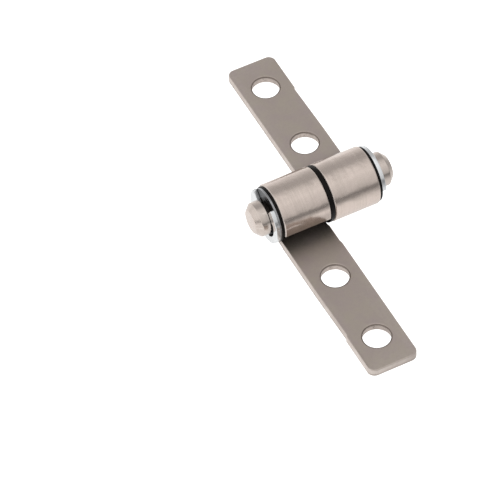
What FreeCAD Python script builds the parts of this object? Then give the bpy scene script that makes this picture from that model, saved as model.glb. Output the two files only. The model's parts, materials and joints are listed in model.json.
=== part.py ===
"""Free-stop strap hinge, lying open and flat.

Two alike steel leaves are each stamped from strip and rolled at one end into a
barrel. Both barrels turn about one pin, each on a friction sleeve, with a washer
between them. An E-clip in a groove at each end of the pin holds the stack.

Frame, in millimetres: X runs along the pin, the far leaf points to +Y and the near
leaf to -Y, and Z is up. The undersides of the leaves lie at Z = 0, and the origin is
below the middle of the pin.
"""

import FreeCAD
import Part
import Sketcher

import math
import os

Vector = FreeCAD.Vector
UNSIZED = 1.0   # a circle's radius until its bound formula sets it

# Driving dimensions: millimetres, or degrees where the name ends in _angle.
SIZES = {
    # Leaf, a stamped strip
    "leaf_gauge": 1.2,              # thickness of the strip
    "leaf_width": 7.4,              # along the pin
    "leaf_reach": 29.0,             # pin axis to the leaf's tip
    "leaf_parting": 0.2,            # slit between the two leaves, side by side
    "tip_corner": 1.1,              # corner radius at the tip
    "hole_diameter": 4.1,           # screw hole
    "hole_pitch": 12.0,             # screw hole to screw hole
    "hole_to_tip": 5.25,            # outer screw hole's centre to the tip
    "hole_break": 0.15,             # edge break at the top of a screw hole
    "neck_relief": 0.12,            # how much narrower the neck is at its inner edge
    "neck_end": 6.9,                # pin axis to the end of the neck
    "step_depth": 0.16,             # stamping step on the outer edge, which fades out
    "step_length": 9.0,             # towards the barrel over this length
    "step_to_hole": 1.85,           # from the step to the outer screw hole's centre
    # Barrel, the rolled end of a leaf
    "barrel_setback": 0.05,         # barrel's outer end inside the strap's outer edge
    "barrel_break": 0.18,           # edge break at the barrel's ends
    "curl_gap_angle": 77.0,         # from straight down to the roll's free end
    # Sleeve, between the pin and the barrel
    "sleeve_wall": 0.55,            # room for the sleeve, pin to barrel
    "sleeve_setback": 0.1,          # sleeve's end inside the barrel's end
    "running_clearance": 0.03,      # radial, between the pin and the turning sleeve
    # Pin
    "pin_diameter": 5.0,
    "pin_overhang": 2.0,            # pin's end beyond the near clip
    "pin_chamfer": 0.8,
    "groove_diameter": 3.6,
    "groove_play": 0.05,            # axial play of a clip in its groove, each side
    # Washers; an inset is how far a rim lies inside the barrel's skin
    "side_play": 0.05,              # axial, between a barrel and a washer
    "washer_clearance": 0.05,       # radial, between a washer and the pin
    "mid_washer_gauge": 0.6,
    "mid_washer_inset": 0.05,
    "end_washer_gauge": 0.3,
    "end_washer_inset": 0.2,
    "spring_washer_gauge": 0.3,
    "spring_washer_inset": 0.3,
    # E-clip
    "clip_gauge": 0.6,
    "clip_diameter": 8.0,
    "clip_hollow_diameter": 5.9,    # across the hollows between the prongs
    "clip_mouth_angle": 84.0,       # opening of the clip
    "clip_tip_angle": 36.0,         # width of each prong beside the mouth
    "clip_prong_angle": 40.0,       # width of the prong opposite the mouth
    "clip_near_angle": 81.0,        # where the near clip's mouth points, from +Y towards +Z
    "clip_far_angle": 220.0,        # where the far clip's mouth points
    "clip_corner": 0.25,            # corner radius of the clip's outline
    "margin": 1.0,                  # how far a cutting shape passes the solid it cuts
}

# Places that follow from the driving dimensions.
DERIVED = {
    "pin_radius": "pin_diameter / 2",
    "groove_radius": "groove_diameter / 2",
    "bore_radius": "pin_radius + sleeve_wall",
    "barrel_radius": "bore_radius + leaf_gauge",
    "axis_height": "barrel_radius",
    "leaf_inner": "leaf_parting / 2",
    "leaf_outer": "leaf_inner + leaf_width",
    "hole_middle": "leaf_inner + leaf_width / 2",
    "hole_end": "leaf_reach - hole_to_tip",
    "hole_start": "hole_end - hole_pitch",
    "barrel_inner": "mid_washer_gauge / 2 + side_play",
    "barrel_outer": "leaf_outer - barrel_setback",
    "washer_inner": "barrel_outer + side_play",
    "washer_outer": "washer_inner + end_washer_gauge",
    "spring_outer": "washer_outer + spring_washer_gauge",
    "near_clip_outer": "spring_outer + clip_gauge",
    "far_clip_outer": "washer_outer + clip_gauge",
    "near_groove_inner": "spring_outer - groove_play",
    "near_groove_outer": "near_clip_outer + groove_play",
    "far_groove_inner": "washer_outer - groove_play",
    "far_groove_outer": "far_clip_outer + groove_play",
    "pin_end": "near_clip_outer + pin_overhang",
    "chamfer_start": "pin_end - pin_chamfer",
    "chamfer_radius": "pin_radius - pin_chamfer",
    "mid_washer_radius": "barrel_radius - mid_washer_inset",
    # The neck starts where the strap is clear of the middle washer's rim.
    "neck_start": "sqrt(mid_washer_radius^2 - bore_radius^2) + 2 * side_play",
    "neck_inner": "leaf_inner + neck_relief",
    "roll_clear": "barrel_radius + margin",
    "leaf_beyond": "leaf_outer + margin",
    "step_inner": "leaf_outer - step_depth",
    "step_end": "hole_end - step_to_hole",
    "step_start": "step_end - step_length",
    "relief_angle": "180 - clip_mouth_angle / 2 - clip_tip_angle - clip_prong_angle / 2",
}


def make_sheet(doc):
    """Write the driving and derived dimensions to the document's sheet."""
    sheet = doc.addObject("Spreadsheet::Sheet", "Sizes")
    cells = [(name, str(value)) for name, value in SIZES.items()]
    cells += [(name, "=" + formula) for name, formula in DERIVED.items()]
    for row, (name, content) in enumerate(cells, start=1):
        sheet.set(f"A{row}", name)
        sheet.setAlias(f"B{row}", name)
        sheet.set(f"B{row}", content)
    doc.recompute()
    return sheet


def bind(target, prop, formula):
    """Bind one property of an object to the sheet's cells."""
    target.setExpression(prop, formula)


def cell(name):
    """The expression for a named cell, which may carry a minus sign."""
    return "-Sizes." + name[1:] if name.startswith("-") else "Sizes." + name


class Model:
    """The document, its sheet and the sub-parts made in it."""

    def __init__(self):
        self.doc = FreeCAD.newDocument("StrapHinge")
        self.sheet = make_sheet(self.doc)
        self.parts = []

    def size(self, name):
        """A named cell's value now; "0" is zero and a leading minus negates."""
        if name == "0":
            return 0.0
        value = float(getattr(self.sheet, name.lstrip("-")))
        return -value if name.startswith("-") else value

    def body(self, label):
        """A new PartDesign body whose Label names the node."""
        body = self.doc.addObject("PartDesign::Body", label)
        body.Label = label
        self.parts.append(body)
        return body

    def sketch(self, body, name, plane, offset=None):
        """A sketch on one of the body's origin planes, moved along its normal."""
        sketch = body.newObject("Sketcher::SketchObject", name)
        support = next(item for item in body.Origin.OriginFeatures if item.Role == plane)
        sketch.AttachmentSupport = [(support, "")]
        sketch.MapMode = "FlatFace"
        if offset:
            bind(sketch, "AttachmentOffset.Base.z", offset)
        return sketch

    def place(self, sketch, geometry, point, across, up):
        """Fix one point of a sketch at two named cells from the sketch's origin."""
        for kind, name in (("DistanceX", across), ("DistanceY", up)):
            if name == "0":
                axis = -2 if kind == "DistanceX" else -1
                sketch.addConstraint(Sketcher.Constraint("PointOnObject", geometry, point, axis))
                continue
            held = Sketcher.Constraint(kind, -1, 1, geometry, point, self.size(name))
            bind(sketch, f"Constraints[{sketch.addConstraint(held)}]", cell(name))

    def polygon(self, sketch, corners):
        """A closed outline through corners named by their cells."""
        points = [Vector(self.size(x), self.size(y), 0) for x, y in corners]
        first = sketch.GeometryCount
        count = len(points)
        for index, point in enumerate(points):
            sketch.addGeometry(Part.LineSegment(point, points[(index + 1) % count]))
        for index, (across, up) in enumerate(corners):
            before = first + (index - 1) % count
            sketch.addConstraint(
                Sketcher.Constraint("Coincident", before, 2, first + index, 1))
            self.place(sketch, first + index, 1, across, up)

    def circle(self, sketch, radius, across="0", up="0"):
        """A circle with its radius and centre bound to the sheet."""
        centre = Vector(self.size(across), self.size(up), 0)
        index = sketch.addGeometry(Part.Circle(centre, Vector(0, 0, 1), UNSIZED))
        self.place(sketch, index, 3, across, up)
        held = sketch.addConstraint(Sketcher.Constraint("Radius", index, UNSIZED))
        bind(sketch, f"Constraints[{held}]", radius)

    def cut(self, body, name, sketch):
        """Pocket a sketch on the XY plane upwards, and make sure that it cut."""
        self.doc.recompute()
        before = body.Shape.Volume
        pocket = body.newObject("PartDesign::Pocket", name)
        pocket.Profile = sketch
        pocket.Type = "ThroughAll"
        pocket.Reversed = True
        self.doc.recompute()
        if pocket.Shape.Volume >= before:
            raise RuntimeError(f"{body.Label}: {name} removed nothing")
        return pocket

    def dress(self, body, kind, name, edges, size_property, formula):
        """Fillet or chamfer chosen edges of the body's tip."""
        base = body.Tip
        feature = body.newObject(kind, name)
        feature.Base = (base, edges)
        bind(feature, size_property, formula)
        body.Tip = feature
        self.doc.recompute()

    def seat_on_axis(self, body):
        """Lift a piece, modelled about its own X axis, to the pin's height."""
        bind(body, "Placement.Base.z", "Sizes.axis_height")


def edges_where(body, test):
    """Names of the edges of the body's shape, in its own frame, that pass a test."""
    shape = body.Tip.Shape
    return [f"Edge{i}" for i, edge in enumerate(shape.Edges, start=1) if test(edge)]


def is_circle(edge):
    """Whether an edge is a circle or part of one."""
    return isinstance(edge.Curve, Part.Circle)


def near(first, second):
    """Whether two lengths are the same."""
    return math.isclose(first, second, abs_tol=1e-4)


def leaf_section(model, body):
    """Side view of a leaf: flat strap, then the roll around the pin."""
    sketch = model.sketch(body, "Section", "YZ_Plane", "Sizes.leaf_inner")
    gauge = model.size("leaf_gauge")
    reach = model.size("leaf_reach")
    height = model.size("axis_height")
    inner, outer = model.size("bore_radius"), model.size("barrel_radius")
    gap = math.radians(model.size("curl_gap_angle") - 90)
    centre, normal = Vector(0, height, 0), Vector(0, 0, 1)

    def on_roll(radius):
        return Vector(radius * math.cos(gap), height + radius * math.sin(gap), 0)

    underside, tip, top, lip = range(4)
    sketch.addGeometry([
        Part.LineSegment(Vector(0, 0, 0), Vector(reach, 0, 0)),
        Part.LineSegment(Vector(reach, 0, 0), Vector(reach, gauge, 0)),
        Part.LineSegment(Vector(reach, gauge, 0), Vector(0, gauge, 0)),
        Part.LineSegment(on_roll(inner), on_roll(outer)),
        Part.ArcOfCircle(Part.Circle(centre, normal, inner), gap, math.radians(270)),
        Part.ArcOfCircle(Part.Circle(centre, normal, outer), gap, math.radians(270)),
    ], False)
    bore, skin = 4, 5
    for kind, *where in (
        ("Coincident", underside, 1, -1, 1), ("Horizontal", underside),
        ("Coincident", underside, 2, tip, 1), ("Vertical", tip),
        ("Coincident", tip, 2, top, 1), ("Horizontal", top),
        ("Coincident", top, 2, bore, 2), ("PointOnObject", top, 2, -2),
        ("Coincident", bore, 1, lip, 1), ("Coincident", lip, 2, skin, 1),
        ("Coincident", skin, 2, underside, 1), ("Coincident", bore, 3, skin, 3),
        ("PointOnObject", skin, 3, -2), ("PointOnObject", skin, 3, lip),
    ):
        sketch.addConstraint(Sketcher.Constraint(kind, *where))
    for kind, where, value, formula in (
        ("DistanceX", (-1, 1, underside, 2), reach, "Sizes.leaf_reach"),
        ("Radius", (bore,), inner, "Sizes.bore_radius"),
        ("Radius", (skin,), outer, "Sizes.barrel_radius"),
        ("Angle", (lip,), gap, "(Sizes.curl_gap_angle - 90) * 1 deg"),
    ):
        held = sketch.addConstraint(Sketcher.Constraint(kind, *where, value))
        bind(sketch, f"Constraints[{held}]", formula)
    return sketch


def make_leaf(model, label, turned):
    """One leaf, stamped and rolled; the near leaf is the same part turned round."""
    body = model.body(label)
    pad = body.newObject("PartDesign::Pad", "Strip")
    pad.Profile = leaf_section(model, body)
    bind(pad, "Length", "Sizes.leaf_width")

    # The roll's ends are trimmed right round it, and the strap only beneath the washers.
    for name, reach, level in (("StrapEnds", "neck_start", None),
                               ("RollEnds", "roll_clear", "Sizes.leaf_gauge")):
        ends = model.sketch(body, name, "XY_Plane", level)
        for inner, outer in (("0", "barrel_inner"), ("barrel_outer", "leaf_beyond")):
            model.polygon(ends, [(inner, "-roll_clear"), (outer, "-roll_clear"),
                                 (outer, reach), (inner, reach)])
        model.cut(body, "Trim" + name, ends)

    steps = model.sketch(body, "EdgeSteps", "XY_Plane")
    model.polygon(steps, [("0", "0"), ("neck_inner", "0"),
                          ("neck_inner", "neck_end"), ("0", "neck_end")])
    model.polygon(steps, [("leaf_outer", "step_start"), ("leaf_beyond", "step_start"),
                          ("leaf_beyond", "step_end"), ("step_inner", "step_end")])
    model.cut(body, "TrimEdgeSteps", steps)

    holes = model.sketch(body, "ScrewHoles", "XY_Plane")
    for along in ("hole_start", "hole_end"):
        model.circle(holes, "Sizes.hole_diameter / 2", "hole_middle", along)
    model.cut(body, "PunchHoles", holes)

    reach, gauge = model.size("leaf_reach"), model.size("leaf_gauge")
    model.dress(body, "PartDesign::Fillet", "TipCorners", edges_where(
        body, lambda edge: near(edge.BoundBox.YMin, reach) and near(edge.BoundBox.ZLength, gauge)
        and near(edge.BoundBox.XLength, 0)), "Radius", "Sizes.tip_corner")
    model.dress(body, "PartDesign::Fillet", "HoleEdges", edges_where(
        body, lambda edge: is_circle(edge) and near(edge.Curve.Radius, model.size("hole_diameter") / 2)
        and near(edge.BoundBox.ZMin, gauge) and near(edge.BoundBox.ZLength, 0)),
        "Radius", "Sizes.hole_break")
    barrel_ends = (model.size("barrel_inner"), model.size("barrel_outer"))
    model.dress(body, "PartDesign::Chamfer", "BarrelEdges", edges_where(
        body, lambda edge: is_circle(edge)
        and near(edge.Curve.Radius, model.size("barrel_radius"))
        and any(near(edge.BoundBox.XMin, x) and near(edge.BoundBox.XLength, 0)
                for x in barrel_ends)), "Size", "Sizes.barrel_break")
    if turned:
        body.Placement.Rotation = FreeCAD.Rotation(Vector(0, 0, 1), 180)
    return body


def make_ring(model, label, start, length, outer, inner):
    """A washer or sleeve about the pin, from start along +X; all are formulas."""
    body = model.body(label)
    sketch = model.sketch(body, "Ring", "YZ_Plane", start)
    model.circle(sketch, outer)
    model.circle(sketch, inner)
    pad = body.newObject("PartDesign::Pad", "Length")
    pad.Profile = sketch
    bind(pad, "Length", length)
    model.seat_on_axis(body)
    return body


def make_pin(model):
    """The turned pin: chamfered ends and a groove for each clip."""
    body = model.body("pin")
    sketch = model.sketch(body, "Profile", "XY_Plane")
    outline = [("-pin_end", "0"), ("-pin_end", "chamfer_radius"),
               ("-chamfer_start", "pin_radius")]
    for first, second in (("-near_groove_outer", "-near_groove_inner"),
                          ("far_groove_inner", "far_groove_outer")):
        outline += [(first, "pin_radius"), (first, "groove_radius"),
                    (second, "groove_radius"), (second, "pin_radius")]
    outline += [("chamfer_start", "pin_radius"), ("pin_end", "chamfer_radius"),
                ("pin_end", "0")]
    model.polygon(sketch, outline)
    turning = body.newObject("PartDesign::Revolution", "Turning")
    turning.Profile = sketch
    turning.ReferenceAxis = (sketch, ["H_Axis"])
    model.seat_on_axis(body)
    return body


def make_sector(model, name, radius, opening=None, start=None):
    """A disc, or a wedge of one from start through opening, for the clip to use."""
    disc = model.doc.addObject("Part::Cylinder", name)
    bind(disc, "Radius", radius)
    bind(disc, "Height", "Sizes.clip_gauge + 2 * Sizes.margin")
    bind(disc, "Placement.Base.z", "-Sizes.margin")
    if opening:
        bind(disc, "Angle", f"({opening}) * 1 deg")
        bind(disc, "Placement.Rotation.Angle", f"({start}) * 1 deg")
    return disc


def make_clip(model, label, inner_face, mouth):
    """An E-clip: a disc with a mouth, and hollows that leave three prongs.

    inner_face is the X of the clip's face on the low-X side, and mouth is the
    direction of its opening, measured from +Y towards +Z.
    """
    doc = model.doc
    blank = doc.addObject("Part::Cylinder", label + "_blank")
    bind(blank, "Radius", "Sizes.clip_diameter / 2")
    bind(blank, "Height", "Sizes.clip_gauge")
    half_mouth = "Sizes.clip_mouth_angle / 2"
    half_prong = "Sizes.clip_prong_angle / 2"
    tools = doc.addObject("Part::MultiFuse", label + "_tools")
    tools.Shapes = [
        make_sector(model, label + "_seat", "Sizes.groove_radius"),
        make_sector(model, label + "_mouth", "Sizes.clip_diameter / 2 + Sizes.margin",
                    "Sizes.clip_mouth_angle", f"{mouth} - {half_mouth}"),
        make_sector(model, label + "_hollow_a", "Sizes.clip_hollow_diameter / 2",
                    "Sizes.relief_angle", f"{mouth} + {half_mouth} + Sizes.clip_tip_angle"),
        make_sector(model, label + "_hollow_b", "Sizes.clip_hollow_diameter / 2",
                    "Sizes.relief_angle", f"{mouth} + 180 + {half_prong}"),
    ]
    stamped = doc.addObject("Part::Cut", label + "_stamped")
    stamped.Base = blank
    stamped.Tool = tools
    doc.recompute()
    clip = doc.addObject("Part::Fillet", label)
    clip.Label = label
    clip.Base = stamped
    corner = model.size("clip_corner")
    gauge = model.size("clip_gauge")
    clip.Edges = [(i, corner, corner) for i, edge in enumerate(stamped.Shape.Edges, start=1)
                  if near(edge.BoundBox.ZLength, gauge) and near(edge.Length, gauge)]
    # Local Z becomes X, local X becomes Y and local Y becomes Z.
    clip.Placement.Rotation = FreeCAD.Rotation(Vector(1, 1, 1), 120)
    bind(clip, "Placement.Base.x", inner_face)
    model.seat_on_axis(clip)
    model.parts.append(clip)
    return clip


def build(model):
    """Make every sub-part of the hinge."""
    make_leaf(model, "leaf_far", turned=False)
    make_leaf(model, "leaf_near", turned=True)
    make_pin(model)

    sleeve = "Sizes.barrel_outer - Sizes.barrel_inner - 2 * Sizes.sleeve_setback"
    make_ring(model, "sleeve_far", "Sizes.barrel_inner + Sizes.sleeve_setback", sleeve,
              "Sizes.bore_radius", "Sizes.pin_radius + Sizes.running_clearance")
    make_ring(model, "sleeve_near", "-Sizes.barrel_outer + Sizes.sleeve_setback", sleeve,
              "Sizes.bore_radius", "Sizes.pin_radius")

    hole = "Sizes.pin_radius + Sizes.washer_clearance"
    make_ring(model, "centre_washer", "-Sizes.mid_washer_gauge / 2",
              "Sizes.mid_washer_gauge", "Sizes.mid_washer_radius", hole)
    end_rim = "Sizes.barrel_radius - Sizes.end_washer_inset"
    make_ring(model, "end_washer_far", "Sizes.washer_inner",
              "Sizes.end_washer_gauge", end_rim, hole)
    make_ring(model, "end_washer_near", "-Sizes.washer_outer",
              "Sizes.end_washer_gauge", end_rim, hole)
    make_ring(model, "spring_washer", "-Sizes.spring_outer", "Sizes.spring_washer_gauge",
              "Sizes.barrel_radius - Sizes.spring_washer_inset", hole)

    make_clip(model, "e_clip_far", "Sizes.washer_outer", "Sizes.clip_far_angle")
    make_clip(model, "e_clip_near", "-Sizes.near_clip_outer", "Sizes.clip_near_angle")


def check(model):
    """Stop if any object failed or any sub-part isn't one valid solid."""
    model.doc.recompute()
    for item in model.doc.Objects:
        if "Invalid" in item.State or "Error" in item.State:
            raise RuntimeError(f"{item.Label} failed: {item.State}")
    for item in model.parts:
        shape = item.Shape
        if shape.isNull() or not shape.isValid() or len(shape.Solids) != 1:
            raise RuntimeError(f"{item.Label} isn't one valid solid")


def export(model):
    """Write each sub-part to parts/, named by its Label."""
    os.makedirs("parts", exist_ok=True)
    for item in model.parts:
        item.Shape.exportStep(os.path.join("parts", item.Label + ".step"))
        print(f"{item.Label:16s} {item.Shape.Volume:9.2f} mm3")


hinge = Model()
build(hinge)
check(hinge)
export(hinge)
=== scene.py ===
"""Looks of the free-stop strap hinge: its visible pieces, finishes, light and camera.

Pieces are modelled in millimetres, with operators as by hand, and scaled to the frame's
metres when they are finished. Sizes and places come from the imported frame.
"""
import json
import logging
import math
from collections.abc import Callable
from dataclasses import dataclass, field
from enum import Enum
from functools import cache

import bmesh
import bpy
from mathutils import Euler, Matrix, Vector


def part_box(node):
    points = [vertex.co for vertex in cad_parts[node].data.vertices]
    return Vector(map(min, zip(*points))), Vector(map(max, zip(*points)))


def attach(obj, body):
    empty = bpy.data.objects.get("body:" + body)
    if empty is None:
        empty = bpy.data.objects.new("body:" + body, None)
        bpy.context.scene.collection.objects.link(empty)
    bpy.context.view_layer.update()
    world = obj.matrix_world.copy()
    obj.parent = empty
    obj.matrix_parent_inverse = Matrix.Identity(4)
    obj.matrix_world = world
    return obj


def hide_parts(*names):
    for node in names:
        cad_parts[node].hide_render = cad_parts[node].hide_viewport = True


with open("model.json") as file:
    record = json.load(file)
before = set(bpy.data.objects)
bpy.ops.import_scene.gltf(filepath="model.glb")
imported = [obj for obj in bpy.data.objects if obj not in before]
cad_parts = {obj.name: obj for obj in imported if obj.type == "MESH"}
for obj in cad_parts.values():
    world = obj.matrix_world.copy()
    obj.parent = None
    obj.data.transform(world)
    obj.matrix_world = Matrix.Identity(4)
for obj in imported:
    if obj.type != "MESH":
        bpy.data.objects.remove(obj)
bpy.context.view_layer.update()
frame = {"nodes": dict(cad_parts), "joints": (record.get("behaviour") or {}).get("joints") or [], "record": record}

LOG = logging.getLogger("strap_hinge")
MM = 0.001                      # metres in a millimetre
MERGE = 1e-4                    # millimetres; points closer than this are one point

Colour = tuple[float, float, float]
FaceTest = Callable[[bmesh.types.BMFace], bool]
EdgeTest = Callable[[bmesh.types.BMEdge], bool]
VertTest = Callable[[bmesh.types.BMVert], bool]


# ---------------------------------------------------------------- sizes from the frame


@dataclass(frozen=True)
class Span:
    """A CAD node's box, in millimetres."""

    low: Vector
    high: Vector

    @classmethod
    @cache
    def of(cls, node: str) -> "Span":
        """The box of the CAD node with that name."""
        low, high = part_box(node)
        return cls(low / MM, high / MM)

    @property
    def radius(self) -> float:
        """Half the width across Y: the radius of a round piece on the pin."""
        return (self.high.y - self.low.y) / 2


@dataclass(frozen=True)
class HingeSizes:
    """What every piece needs to know about the hinge, in millimetres."""

    axis_height: float
    gauge: float
    bore_radius: float
    side_play: float = 0.05

    @classmethod
    def from_frame(cls) -> "HingeSizes":
        """Read the pin's height from the joint and the strip's gauge from a sleeve."""
        height = frame["joints"][0]["pos_m"][2] / MM
        bore = Span.of("sleeve_far").radius
        return cls(axis_height=height, gauge=height - bore, bore_radius=bore)

    @property
    def axis(self) -> Vector:
        """The point of the pin's axis above the origin."""
        return Vector((0.0, 0.0, self.axis_height))


# ---------------------------------------------------------------- modelling by operator


class Bench:
    """One piece on the bench: its mesh, and the operators used on it.

    The piece stays in edit mode while it is worked on, in millimetres.
    """

    def __init__(self, name: str) -> None:
        """Take the object that an operator has just added, and open it for editing.

        Args:
            name: The piece's name in the scene.
        """
        self.obj: bpy.types.Object = bpy.context.object
        self.obj.name = name
        self.obj.data.name = name
        bpy.ops.object.transform_apply(location=True, rotation=True, scale=True)
        bpy.ops.object.mode_set(mode="EDIT")

    @staticmethod
    def clear() -> None:
        """Deselect everything, so that an operator acts on one piece only."""
        if bpy.context.object and bpy.context.object.mode != "OBJECT":
            bpy.ops.object.mode_set(mode="OBJECT")
        bpy.ops.object.select_all(action="DESELECT")

    @classmethod
    def block(cls, name: str, low: Vector, high: Vector) -> "Bench":
        """A block between two corners."""
        cls.clear()
        bpy.ops.mesh.primitive_cube_add(
            size=1.0, location=(low + high) / 2, scale=high - low)
        return cls(name)

    @classmethod
    def section(cls, name: str, start: float, end: float, inner: float, outer: float,
                sizes: HingeSizes, angle: float) -> "Bench":
        """A flat rectangular face through the pin's axis, ready to be spun.

        Args:
            name: The piece's name.
            start: Where the section starts along the pin.
            end: Where it ends along the pin.
            inner: Its distance from the axis on the near side.
            outer: Its distance from the axis on the far side.
            sizes: The hinge's sizes.
            angle: Its direction about the pin, in radians from +Y towards +Z.

        Returns:
            The bench with the face on it.
        """
        middle = (inner + outer) / 2
        centre = sizes.axis + middle * Vector((0.0, math.cos(angle), math.sin(angle)))
        centre.x = (start + end) / 2
        cls.clear()
        bpy.ops.mesh.primitive_plane_add(
            size=1.0, location=centre, rotation=(angle, 0.0, 0.0),
            scale=(end - start, outer - inner, 1.0))
        bpy.context.object.scale = (end - start, outer - inner, 1.0)
        return cls(name)

    @classmethod
    def disc(cls, name: str, x: float, radius: float, sizes: HingeSizes,
             sides: int) -> "Bench":
        """A flat round face square to the pin, ready to be extruded along it."""
        cls.clear()
        bpy.ops.mesh.primitive_circle_add(
            vertices=sides, radius=radius, fill_type="NGON",
            location=(x, 0.0, sizes.axis_height), rotation=(0.0, math.pi / 2, 0.0))
        return cls(name)

    def _select(self, kind: str, items: str, test: Callable) -> None:
        """Select the mesh's items that pass a test."""
        bpy.ops.mesh.select_mode(type=kind)
        bpy.ops.mesh.select_all(action="DESELECT")
        mesh = bmesh.from_edit_mesh(self.obj.data)
        mesh.normal_update()
        for item in [item for item in getattr(mesh, items) if test(item)]:
            item.select_set(True)
        mesh.select_flush_mode()
        bmesh.update_edit_mesh(self.obj.data)

    def pick_faces(self, test: FaceTest) -> None:
        """Select faces that pass a test."""
        self._select("FACE", "faces", test)

    def pick_edges(self, test: EdgeTest) -> None:
        """Select edges that pass a test."""
        self._select("EDGE", "edges", test)

    def pick_points(self, test: VertTest) -> None:
        """Select points that pass a test."""
        self._select("VERT", "verts", test)

    def pick_all(self) -> None:
        """Select the whole mesh."""
        bpy.ops.mesh.select_all(action="SELECT")

    def slice_across(self, y: float) -> None:
        """Cut a ring of edges across the piece at one place along Y."""
        self.pick_all()
        bpy.ops.mesh.bisect(plane_co=(0.0, y, 0.0), plane_no=(0.0, 1.0, 0.0),
                            threshold=MERGE)

    def join_flats(self) -> None:
        """Join faces that lie in one plane, and edges that run straight on."""
        self.pick_all()
        bpy.ops.mesh.dissolve_limited(angle_limit=math.radians(0.1))

    def shift(self, offset: tuple[float, float, float]) -> None:
        """Move what is selected."""
        bpy.ops.transform.translate(value=offset)

    def extrude(self) -> None:
        """Extrude the selected faces where they stand, for a move or scale to follow."""
        bpy.ops.mesh.extrude_region_move(
            TRANSFORM_OT_translate={"value": (0.0, 0.0, 0.0)})

    def scale_about(self, centre: Vector, factor: float) -> None:
        """Scale what is selected square to the pin, about a point of its axis."""
        bpy.ops.transform.resize(value=(1.0, factor, factor), center_override=centre)

    def spin(self, sizes: HingeSizes, angle: float, steps: int) -> None:
        """Spin what is selected about the pin; a positive angle takes -Z towards -Y."""
        bpy.ops.mesh.spin(steps=steps, angle=angle, center=sizes.axis,
                          axis=(1.0, 0.0, 0.0))

    def soften(self, width: float, segments: int, slot: int = -1) -> None:
        """Bevel the selected edges; slot is the finish of the new faces, or -1."""
        bpy.ops.mesh.bevel(offset=width, segments=segments, profile=0.5,
                           affect="EDGES", clamp_overlap=False, material=slot)

    def soften_by_weight(self, width: float, segments: int, slot: int) -> None:
        """Bevel every edge by its weight, as a modifier; slot is the new faces' finish."""
        bpy.ops.object.mode_set(mode="OBJECT")
        round_off = self.obj.modifiers.new("round_off", "BEVEL")
        round_off.limit_method = "WEIGHT"
        round_off.width = width
        round_off.segments = segments
        round_off.material = slot
        round_off.use_clamp_overlap = False
        bpy.ops.object.modifier_apply(modifier=round_off.name)
        bpy.ops.object.mode_set(mode="EDIT")

    def trust(self, test: FaceTest) -> None:
        """Let the faces that pass a test set the shading of the corners they share."""
        self.pick_all()
        bpy.ops.mesh.mod_weighted_strength(set=True, face_strength="WEAK")
        self.pick_faces(test)
        bpy.ops.mesh.mod_weighted_strength(set=True, face_strength="STRONG")

    def pick_corners(self, degrees: float) -> None:
        """Select the edges that turn by more than an angle."""
        bpy.ops.mesh.select_mode(type="EDGE")
        bpy.ops.mesh.select_all(action="DESELECT")
        bpy.ops.mesh.edges_select_sharp(sharpness=math.radians(degrees))

    def seal(self) -> None:
        """Merge doubled points and turn every face outwards."""
        self.pick_all()
        bpy.ops.mesh.remove_doubles(threshold=MERGE)
        bpy.ops.mesh.normals_make_consistent(inside=False)

    def punch(self, tool: "Bench") -> None:
        """Cut the tool's shape out of this piece, and throw the tool away."""
        bpy.ops.object.mode_set(mode="OBJECT")
        bpy.context.view_layer.objects.active = self.obj
        cut = self.obj.modifiers.new("punch", "BOOLEAN")
        cut.operation = "DIFFERENCE"
        cut.solver = "EXACT"
        cut.object = tool.obj
        bpy.ops.object.modifier_apply(modifier=cut.name)
        bpy.data.objects.remove(tool.obj)
        self.obj.select_set(True)
        bpy.ops.object.mode_set(mode="EDIT")

    def park(self) -> "Bench":
        """Leave edit mode, as a tool does before it is used."""
        bpy.ops.object.mode_set(mode="OBJECT")
        return self

    def release(self, smooth_degrees: float = 40.0) -> bpy.types.Object:
        """Close the piece, shade it smooth between its corners and put it in metres.

        Args:
            smooth_degrees: Edges that turn by more than this stay sharp.

        Returns:
            The finished object, at the origin, unturned and unscaled.
        """
        self.seal()
        bpy.ops.object.mode_set(mode="OBJECT")
        self.clear()
        self.obj.select_set(True)
        bpy.context.view_layer.objects.active = self.obj
        bpy.ops.object.shade_smooth_by_angle(angle=math.radians(smooth_degrees))
        weigh = self.obj.modifiers.new("weigh", "WEIGHTED_NORMAL")
        weigh.keep_sharp = True
        weigh.use_face_influence = True
        bpy.ops.object.modifier_apply(modifier=weigh.name)
        self.obj.data.transform(Matrix.Scale(MM, 4))
        self.obj.select_set(False)
        return self.obj


# ---------------------------------------------------------------- node graphs


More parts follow.
